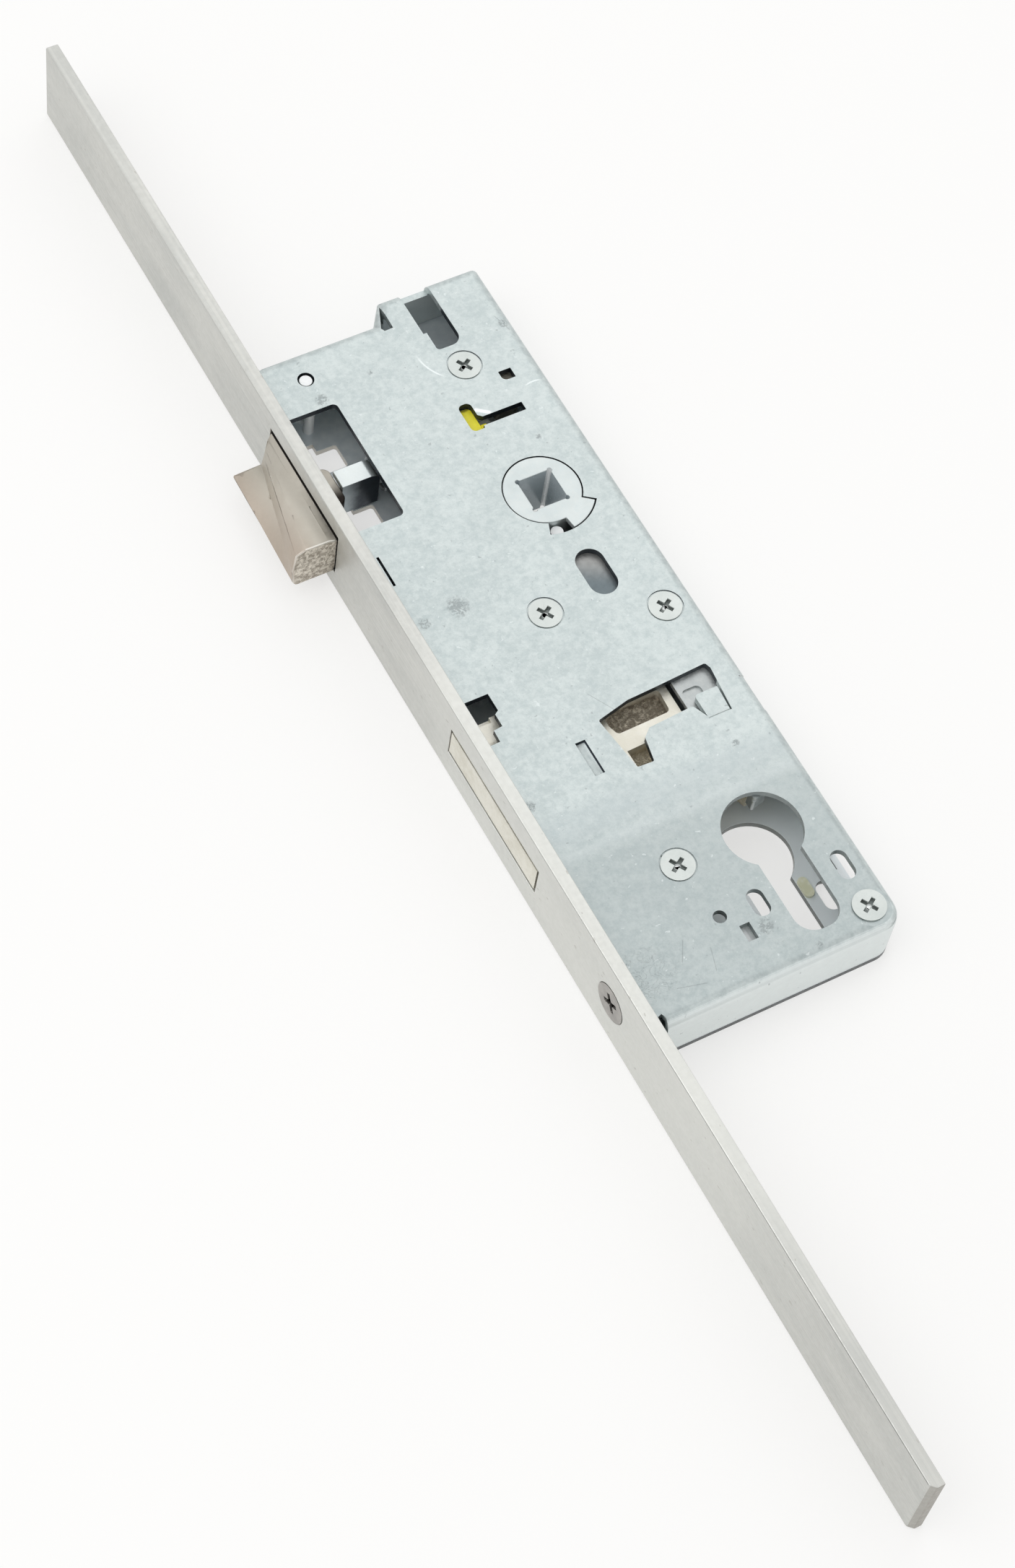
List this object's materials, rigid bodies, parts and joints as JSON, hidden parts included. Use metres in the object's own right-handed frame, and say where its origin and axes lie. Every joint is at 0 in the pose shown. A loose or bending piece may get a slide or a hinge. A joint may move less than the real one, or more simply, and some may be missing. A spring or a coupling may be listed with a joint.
{
  "type": "mortise lock",
  "caption": "Narrow profile-cylinder mortise lock with a long flat forend, sprung latch, dead bolt and 8 mm follower.",
  "frame": {"origin": "axis of the follower's square hole at half the case's thickness", "axes": "+X from the forend into the case, +Y from the cylinder towards the latch, +Z through the case to the cover"},
  "size_m": [0.0713, 0.3777, 0.022],
  "materials": {
    "forend_steel": "matt, faint lengthwise brush lines",
    "case_zinc": "pale zinc plate, lightly mottled",
    "screw_zinc": "bright zinc",
    "cast_zinc": "bright cast zinc",
    "nickel": "satin nickel over a casting",
    "bolt_nickel": "worn nickel over a casting",
    "yellow_zinc": "yellow passivated zinc",
    "grey_steel": "stamped, zinc plated",
    "spring_steel": "oiled wire",
    "yellow_plastic": "moulded, slightly glossy"
  },
  "bodies": {
    "case": {"forend": "forend_steel", "base_plate": "case_zinc", "case_cover": "case_zinc", "cover_screws": "screw_zinc", "screw_posts": "grey_steel", "guide_post": "screw_zinc", "window_pin": "screw_zinc", "fixing_screw": "screw_zinc", "screw_bush": "grey_steel", "screw_guide": "cast_zinc", "tail_rib": "yellow_zinc", "follower_stop_pin": "screw_zinc", "guide_block": "nickel", "spring_seat": "grey_steel", "bolt_guide_stud": "grey_steel", "spring_post": "grey_steel", "latch_spring": "spring_steel", "tumbler_spring": "spring_steel", "follower_spring": "spring_steel"},
    "latch": {"latch_bolt": "nickel", "latch_carrier": "screw_zinc", "latch_link": "grey_steel", "link_rivet": "screw_zinc", "yellow_slider": "yellow_plastic"},
    "follower_body": {"follower": "cast_zinc"},
    "bolt": {"dead_bolt": "bolt_nickel"},
    "tumbler_body": {"tumbler": "grey_steel"},
    "change_body": {"change_lever": "yellow_zinc"}
  },
  "joints": [
    {"name": "follower_turn", "type": "hinge", "parent": "case", "child": "follower_body", "pos_m": [0, 0, 0], "axis": [0, 0, 1], "range_deg": [-27, 0]},
    {"name": "latch_slide", "type": "slide", "parent": "case", "child": "latch", "axis": [1, 0, 0], "range_m": [0, 0.01], "stiffness_N_per_m": 1038, "springref_m": -0.0037, "deforming": ["latch_spring"]},
    {"name": "bolt_slide", "type": "slide", "parent": "case", "child": "bolt", "axis": [-1, 0, 0], "range_m": [0, 0.02]},
    {"name": "tumbler_swing", "type": "hinge", "parent": "case", "child": "tumbler_body", "pos_m": [0.0091, -0.0368, 0.00475], "axis": [0, 0, 1], "range_deg": [0, 3], "stiffness_Nm_per_rad": 0.1, "springref_deg": -9.74},
    {"name": "change_swing", "type": "hinge", "parent": "case", "child": "change_body", "pos_m": [-0.0147, -0.0278, -0.00475], "axis": [0, 0, 1], "range_deg": [-4.5, 0]}
  ],
  "couplings": [
    {"joint": "follower_turn", "follows": "latch_slide", "rad_per_m": -47.12}
  ]
}
